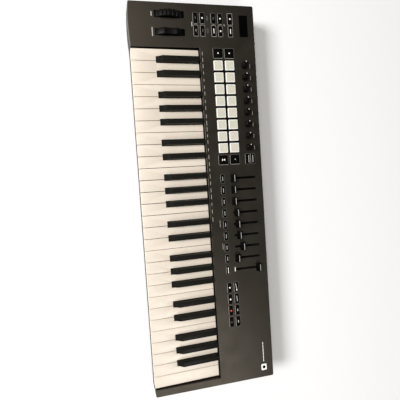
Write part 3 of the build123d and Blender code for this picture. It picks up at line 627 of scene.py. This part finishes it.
def make_knob(index):
    """A fluted soft-touch cap with a dished top and a pale, faintly glowing dot set where the knobs'
    highlight falls: a painted highlight that also stands for the pointer.
    """
    node = f"knob_{index}"
    pivot = Vector(JOINTS[node + "_turn"]["pos_m"])
    low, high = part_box(node)
    radius = (high.x - low.x) / 2
    height = max(lift_of(v.co) for v in NODES[node].data.vertices) - 0.1 * MM
    profile = ((0.46, 0.05), (0.985, 0.05), (1.0, 0.07), (1.0, 0.155), (0.985, 0.17), (0.93, 0.18),
               (0.925, 0.2), (0.885, 0.9), (0.87, 0.95), (0.82, 0.985), (0.75, 1.0), (0.55, 0.99),
               (0.3, 0.982))
    work = bmesh.new()
    loops = []
    for scale, level in profile:
        fluted = 0.2 <= level <= 0.9
        loop = []
        for step in range(KNOB_STEPS):
            angle = 2 * math.pi * step / KNOB_STEPS
            wave = FLUTE_DEPTH * (0.5 - 0.5 * math.cos(FLUTES * angle)) if fluted else 0.0
            r = radius * (scale - wave)
            place = deck_local(pivot, r * math.cos(angle), r * math.sin(angle), height * level)
            loop.append(work.verts.new(place))
        loops.append(loop)
    for lower, upper in zip(loops, loops[1:]):
        for i in range(KNOB_STEPS):
            j = (i + 1) % KNOB_STEPS
            work.faces.new((lower[i], lower[j], upper[j], upper[i]))
    work.faces.new(loops[-1])
    work.faces.new(list(reversed(loops[0])))
    bmesh.ops.recalc_face_normals(work, faces=work.faces)
    mesh = bpy.data.meshes.new(node + "_cap")
    work.to_mesh(mesh)
    work.free()
    shade(mesh, 32)
    add_piece(node + "_cap", mesh, node, "knob_plastic", replaces=(node,))
    # The dot sits at the same place on every knob, where the highlight falls: painted highlight, standing
    # also for the pointer.
    pointer_highlight = Marks()
    pointer_highlight.disc(pivot.x - POINTER_HIGHLIGHT_REACH, pivot.y, POINTER_HIGHLIGHT_R, height + 0.02 * MM)
    pointer_highlight.finish(node + "_pointer_highlight", node, "knob_plastic", "ink_pale_glow")


def deck_local(pivot, u, v, lift):
    """A point u along X, v up the slope and lift off the deck from a pivot on it."""
    return pivot + Vector((1, 0, 0)) * u + ALONG * v + NORMAL * lift


def make_fader_lines():
    """The white line along each cap's crest, printed, with a faint painted glow."""
    for index in range(1, 10):
        node = f"fader_cap_{index}"
        low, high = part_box(node)
        y = (low.y + high.y) / 2
        top = max(lift_of(v.co) for v in NODES[node].data.vertices)
        line = Marks()
        length = (high.x - low.x) - CREST_ENDS
        line.bar((low.x + high.x) / 2, y + 0.05 * MM, length, CREST_LINE, top + 0.03 * MM)
        line.finish(node + "_line", node, "fader_plastic", "ink_pale_glow")


# ---------------- Printing, painted highlights and painted shade ---

def make_outlines():
    """Printed lines round every button, brighter bars on the holes' front and +X sides that are painted
    highlights, and black grounds round every button and black rings round the fader slots that are painted
    shade.

    Returns the brighter lines and painted highlights, to which the rest of the printing is added.
    """
    dim = Marks()
    plain = Marks()
    black = Marks()
    groups = (("function_buttons", 2.8, 1.7, 0.5), ("transport_buttons", 2.8, 1.7, 0.5),
              ("device_buttons", 2.8, 1.7, 0.5), ("scene_buttons", 4.4, 1.2, 0.45),
              ("launch_buttons", 4.4, 1.2, 0.45), ("fader_buttons", 3.6, 2.4, 0.4))
    low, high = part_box("function_buttons")
    row_middle = (low.x + high.x) / 2
    rear_column = high.y - 8 * MM
    for node, margin, corner, line in groups:
        for x, y, width, depth, _ in islands_on_top(node, BUTTON_TOP):
            wide, deep = width + margin * MM, depth + margin * MM
            framed = node == "function_buttons" and x < row_middle and y > rear_column
            if framed:
                wide, deep = wide + FRAME_EXTRA, deep + FRAME_EXTRA
            ring = plain if framed or (node == "function_buttons" and x > row_middle) else dim
            ring.ring(x, y, wide, deep, corner * MM, line * MM)
            # A black ground from the printed line in to the hole's edge: painted shade round the hole.
            band = (margin / 2 - HOLE_EDGE - line) * MM
            black.ring(x, y, wide - 2 * line * MM, deep - 2 * line * MM, (corner - line) * MM, band)
            # Paler bars along each hole's front side, and along its +X side for the scene, launch and
            # function buttons: painted highlights where the hole's edge catches the light.
            front = y - deep / 2 + line * MM / 2
            plain.bar(x, front, wide - 2 * corner * MM, line * MM, 0.03 * MM)
            if node in ("scene_buttons", "launch_buttons", "function_buttons"):
                plain.bar(x + wide / 2 - line * MM / 2, y, line * MM, deep - 2 * corner * MM, 0.03 * MM)
    # Black rings round the fader slots: painted shade at the slots' edges.
    y0, y1 = (edge.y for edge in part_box("fader_bodies"))
    for index in range(1, 10):
        low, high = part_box(f"fader_cap_{index}")
        black.ring((low.x + high.x) / 2, (y0 + y1) / 2 - SLOT_SHIFT, *SLOT_RING)
    dim.finish("button_outlines", "case", "case_upper", "ink_dim")
    black.finish("painted_shade_round_holes", "case", "case_upper", "black_print_and_shade")
    return plain


def make_print():
    """Outlines, painted highlights at the button holes, and plain dashes in place of the lettering."""
    rng = random.Random(7)
    marks = make_outlines()
    dim = Marks()
    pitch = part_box("pitch_wheel")
    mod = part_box("mod_wheel")
    for low, high, length in ((pitch[0], pitch[1], 8.6 * MM), (mod[0], mod[1], 17.3 * MM)):
        marks.bar((low.x + high.x) / 2, WHEEL_LABEL_Y, length, 1.7 * MM)
    tops = islands_on_top("function_buttons", BUTTON_TOP)
    middle = sum(t[0] for t in tops) / len(tops)
    columns = sorted({round(t[1], 4) for t in tops})
    marks.bar(middle, columns[0] - 7.6 * MM, 9 * MM, 1.6 * MM)
    beside = columns[3] + 8.0 * MM
    marks.stroke(middle - 2 * MM, beside, middle + 2 * MM, columns[3] + 9.0 * MM, 1.0 * MM)
    between = (columns[1] + columns[2]) / 2 - 1.2 * MM
    for x in sorted({round(t[0], 4) for t in tops}):
        dim.ring(x, between, 9 * MM, 3 * MM, 1.4 * MM, 0.6 * MM)
    for index in range(1, 9):
        low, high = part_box(f"knob_{index}")
        marks.bar((low.x + high.x) / 2 + 1 * MM, high.y + 6.4 * MM, 8 * MM, 1.1 * MM)
    keys_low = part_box("naturals_cegb_1")[0].x
    row_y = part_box("naturals_cegb_1")[0].y + NOTE_ROW_BACK
    spot = keys_low + 9 * MM
    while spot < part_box("fader_cap_5")[0].x:
        marks.bar(spot, row_y, rng.uniform(5.5, 10.0) * MM, 0.8 * MM)
        spot += rng.uniform(12.0, 17.0) * MM
    for index, back, length in ((5, 11.4, 14.0), (7, 8.4, 12.0)):
        low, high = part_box(f"fader_cap_{index}")
        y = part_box("fader_buttons")[0].y + 4 * MM - back * MM
        marks.bar((low.x + high.x) / 2 - 3 * MM, y, length * MM, 0.7 * MM)
    dim.finish("dim_printing", "case", "case_upper", "ink_dim")
    marks.finish("deck_printing_and_highlights", "case", "case_upper", "ink")


def make_badge():
    """A generic badge, a pale tile with a dark dot and a row of dashes, and the last fader's start mark."""
    marks = Marks()
    case_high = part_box("top_panel")[1]
    x, y = case_high.x - 22 * MM, case_high.y - 21 * MM
    marks.plate(rounded_outline(x, y, 13.5 * MM, 12 * MM, 2 * MM), 0)
    spot = x - 12.5 * MM
    for length in (5.0, 7.5, 6.0, 8.0, 5.5, 6.0):
        marks.bar(spot - length / 2 * MM, y, length * MM, 1.3 * MM)
        spot -= (length + 0.9) * MM
    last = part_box("fader_cap_9")
    marks.bar((last[0].x + last[1].x) / 2, last[0].y - 46.7 * MM, 9 * MM, 1.5 * MM)
    # The tile, its dashes and the start mark glow faintly: painted light.
    marks.finish("badge_tile", "case", "case_upper", "ink_bright")
    dot = Marks()
    dot.disc(x, y, 3.4 * MM, 0.12 * MM)
    dot.finish("badge_dot", "case", "case_upper", "black_print_and_shade")


def make_pad_painted_shade():
    """Black on the narrow lands between the pads and a black felt ring sunk round each pad: painted shade
    between and round the pads.
    """
    marks = Marks()
    rows = [islands_on_top(node, PAD_TOP) for node in ("pads_front", "pads_back")]
    hole = 1.8 * MM
    for tops in rows:
        for left, right in zip(tops, tops[1:]):
            land = right[0] - left[0] - left[2] - hole
            marks.bar((left[0] + right[0]) / 2, left[1], land, left[3] + 1.0 * MM)
    front, back = rows[0][0], rows[1][0]
    land = back[1] - front[1] - front[3] - hole
    middle = (front[1] + back[1]) / 2
    first, last = rows[0][0][0], rows[0][-1][0]
    marks.bar((first + last) / 2, middle, last - first + front[2], land)
    marks.finish("pad_painted_shade", "case", "case_upper", "black_print_and_shade")
    shade_gasket = Marks()
    for tops in rows:
        for x, y, width, depth, _ in tops:
            shade_gasket.ring(x, y, width + 2.9 * MM, depth + 2.9 * MM, 1.6 * MM, 1.45 * MM, -2.8 * MM)
    shade_gasket.finish("pad_shade_gasket", "case", "felt", "painted_shade_felt")


def add_slab(work, corners, depth):
    """A thin slab: four corners of one side, and the vector to the other side."""
    near = [work.verts.new(c) for c in corners]
    far = [work.verts.new(c + depth) for c in corners]
    work.faces.new(near)
    work.faces.new(list(reversed(far)))
    for i in range(4):
        j = (i + 1) % 4
        work.faces.new((far[i], far[j], near[j], near[i]))


def finish_slabs(work, name, body):
    """Turns gathered slabs of black felt, painted shade, into one piece."""
    bmesh.ops.recalc_face_normals(work, faces=work.faces)
    mesh = bpy.data.meshes.new(name)
    work.to_mesh(mesh)
    work.free()
    add_piece(name, mesh, body, "felt", "painted_shade_felt")


def make_bay_shade_lining():
    """Black felt on the three walls round the keys: painted shade in the bay."""
    panel = NODES["top_panel"].data
    beyond_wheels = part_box("mod_wheel")[1].x
    lip = [panel.vertices[i].co for poly in panel.polygons for i in poly.vertices
           if poly.normal.y < -0.99 and abs(poly.center.y) < 0.02 and poly.center.x > beyond_wheels]
    x0, x1 = min(p.x for p in lip), max(p.x for p in lip)
    rear, low = lip[0].y, min(p.z for p in lip)
    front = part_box("naturals_cegb_1")[0].y
    under = 0.4 * MM
    work = bmesh.new()
    top = deck(0, rear).z - under
    add_slab(work, [Vector((x0, rear, low)), Vector((x1, rear, low)), Vector((x1, rear, top)),
                    Vector((x0, rear, top))], Vector((0, -FELT_THICK, 0)))
    for x, inward in ((x0, FELT_THICK), (x1, -FELT_THICK)):
        back = rear - FELT_THICK
        add_slab(work, [Vector((x, front, low - 10 * MM)), Vector((x, back, low - 10 * MM)),
                        Vector((x, back, deck(x, rear).z - under)),
                        Vector((x, front, deck(x, front).z - under))], Vector((inward, 0, 0)))
    finish_slabs(work, "bay_shade_lining", "case")


def make_slot_shade_felt():
    """Black felt lips under each fader slot, with a slit for the stem, over a dark, closed track: painted
    shade in the slots.
    """
    work = bmesh.new()
    y0, y1 = (corner.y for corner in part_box("fader_bodies"))
    for index in range(1, 10):
        low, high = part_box(f"fader_cap_{index}")
        x = (low.x + high.x) / 2
        for near, far in ((x - 2.6 * MM, x - 0.66 * MM), (x + 0.66 * MM, x + 2.6 * MM)):
            flat_slab(work, near, far, y0, y1, STRIP_LIFT)
        left, right = x - 1.0 * MM, x + 1.0 * MM
        flat_slab(work, left, right, y0 + 5 * MM, y1 - 5 * MM, TRACK_LIFT)
        flat_slab(work, left, right, y1 - 4.9 * MM, y1 - 3.7 * MM, -3.4 * MM, 4.7 * MM)
        for start, end in ((y0, y0 + 4.6 * MM), (y1 - 4.6 * MM, y1)):
            flat_slab(work, x - 0.65 * MM, x + 0.65 * MM, start, end, STRIP_LIFT)
    finish_slabs(work, "fader_slot_shade_felt", "case")


def flat_slab(work, x0, x1, y0, y1, lift, thick=FELT_THICK):
    """A slab parallel to the deck, with its top at lift."""
    corners = [deck(x0, y0, lift), deck(x1, y0, lift), deck(x1, y1, lift), deck(x0, y1, lift)]
    add_slab(work, corners, NORMAL * -thick)


def arrow_back(x, y, size):
    """An arrow that points to the player's side."""
    return [(x - size * 0.6, y + size * 0.5), (x, y - size * 0.6), (x + size * 0.6, y + size * 0.5)]


def triangle(x, y, size):
    """A play arrow that points along +X."""
    return [(x - size * 0.5, y - size * 0.6), (x + size * 0.6, y), (x - size * 0.5, y + size * 0.6)]


def legend_on(marks, node, index, x, y, z):
    """Draws one button's legend. Marks holds the bright, pale, dim and red shapes."""
    bright, pale, dim, red = marks
    if node == "fader_buttons":
        length = 12.0 if index == 8 else 8.5
        (bright if index == 8 else pale).bar(x, y, length * MM, 1.15 * MM, z)
    elif node == "device_buttons":
        pale.bar(x, y + (2.6 - 3.0 * index) * MM, 15 * MM, 1.2 * MM, z)
    elif node == "launch_buttons":
        if index == 0:
            bright.bar(x, y - 2.4 * MM, 4.6 * MM, 1.5 * MM, z)
            bright.plate(arrow_back(x, y + 1.4 * MM, 3.6 * MM), z)
        else:
            pale.plate(arrow_back(x, y, 2.8 * MM), z)
    elif node == "scene_buttons":
        bright.disc(x, y, 1.4 * MM, z)
    elif node == "transport_buttons":
        if index == 0:
            bright.plate(triangle(x, y, 3.6 * MM), z)
        elif index == 1:
            pale.stroke(x - 8 * MM, y - 1.4 * MM, x + 4 * MM, y + 0.4 * MM, 1.4 * MM, z)
            bright.stroke(x + 4.2 * MM, y + 0.4 * MM, x + 7.5 * MM, y + 0.8 * MM, 1.8 * MM, z)
        elif index == 2:
            bright.disc(x, y, 1.8 * MM, z)
        elif index == 3:
            pale.stroke(x - 6 * MM, y - 0.5 * MM, x + 6 * MM, y + 0.5 * MM, 1.3 * MM, z)
        elif index == 4:
            red.disc(x, y, 1.8 * MM, z)
        elif index == 6:
            dim.disc(x, y, 1.3 * MM, z)
        else:
            pale.bar(x, y, 5 * MM, 1.7 * MM, z)
    elif index in (1, 3, 4, 8):
        bright.disc(x, y, 1.6 * MM, z)
    elif index in (7, 9):
        bright.bar(x, y, 9.5 * MM, 1.4 * MM, z)
    elif index == 5:
        pale.bar(x, y, 5 * MM, 0.9 * MM, z)
    else:
        dim.bar(x, y, 5 * MM, 1.2 * MM, z)


def make_legends():
    """Lit dots, arrows and bars on the button tops, each riding with its mat."""
    for node in ("function_buttons", "transport_buttons", "scene_buttons", "launch_buttons",
                 "device_buttons", "fader_buttons"):
        sets = {"ink_bright": Marks(), "ink_pale_glow": Marks(), "ink_dim": Marks(), "ink_red": Marks()}
        for index, (x, y, _, _, lift) in enumerate(islands_on_top(node, BUTTON_TOP)):
            legend_on(tuple(sets.values()), node, index, x, y, lift + 0.02 * MM)
        for ink, marks in sets.items():
            if marks.work.verts:
                marks.finish(f"{node}_{ink}", node, "button_rubber", ink)


# ---------------- CAD nodes that stay ----------------

def dress_frame_nodes():
    """Gives every CAD node its slot's material, including the ones that stay visible."""
    for node, piece in NODES.items():
        piece.data.materials.clear()
        piece.data.materials.append(MATS[SLOT_OF[node]])


# ---------------- Stage, lights, camera ----------------

def make_stage():
    """A plain pale floor."""
    work = bmesh.new()
    bmesh.ops.create_grid(work, x_segments=2, y_segments=2, size=6.0)
    mesh = bpy.data.meshes.new("floor")
    work.to_mesh(mesh)
    work.free()
    floor = bpy.data.objects.new("floor", mesh)
    bpy.context.scene.collection.objects.link(floor)
    paper = Shader("floor_paper")
    fibre = paper.noise(300.0, 4.0)
    paper.colour(paper.ramp(fibre, [(0.3, (0.955, 0.957, 0.96)), (0.7, (0.97, 0.972, 0.975))]))
    paper.roughness(paper.spread(fibre, 0.85, 0.95))
    mesh.materials.append(paper.material)


def make_light(name, location, target, size, watts, colour):
    """A rectangular soft light aimed at a target."""
    data = bpy.data.lights.new(name, "AREA")
    data.shape = "RECTANGLE"
    data.size, data.size_y = size
    data.energy = watts
    data.color = colour
    light = bpy.data.objects.new(name, data)
    light.location = location
    aim = Vector(target) - Vector(location)
    light.rotation_euler = aim.to_track_quat("-Z", "Y").to_euler()
    bpy.context.scene.collection.objects.link(light)


def make_lights():
    """A weak even sky, one big soft key light from the player's side and two faint fills."""
    world = bpy.data.worlds.new("studio")
    world.use_nodes = True
    sky = world.node_tree.nodes["Background"]
    sky.inputs["Color"].default_value = (1.0, 1.0, 1.0, 1.0)
    sky.inputs["Strength"].default_value = 0.11
    bpy.context.scene.world = world
    make_light("key_light", (-1.60, -7.80, 6.75), (0.0, 0.0, 0.0),
               (3.3, 3.3), 995.0, (1.0, 0.998, 0.995))
    make_light("strip_light", (-0.30, -0.60, 1.80), (-0.25, -0.35, 0.0),
               (2.4, 0.5), 15.0, (1.0, 0.95, 0.89))
    make_light("side_light", (1.30, 0.12, 1.75), (0.2, 0.0, 0.0),
               (0.8, 0.8), 8.0, (1.0, 0.985, 0.96))


def make_camera():
    """The camera, aimed by its look and up directions."""
    data = bpy.data.cameras.new("camera")
    data.lens = CAMERA_LENS_MM
    data.sensor_width = SENSOR_MM
    camera = bpy.data.objects.new("camera", data)
    back = -CAMERA_LOOK.normalized()
    right = CAMERA_UP.cross(back).normalized()
    up = back.cross(right)
    turn = Matrix((right, up, back)).transposed().to_4x4()
    camera.matrix_world = Matrix.Translation(CAMERA_AT) @ turn
    bpy.context.scene.collection.objects.link(camera)
    bpy.context.scene.camera = camera


make_camera()
make_lights()
make_stage()
dress_frame_nodes()
make_keys()
make_small_shells()
for row in ("pads_front", "pads_back"):
    make_pads(row)
for number in range(1, 9):
    make_knob(number)
make_fader_lines()
make_print()
make_badge()
make_pad_painted_shade()
make_bay_shade_lining()
make_slot_shade_felt()
make_legends()
bpy.context.scene.view_settings.view_transform = "Standard"
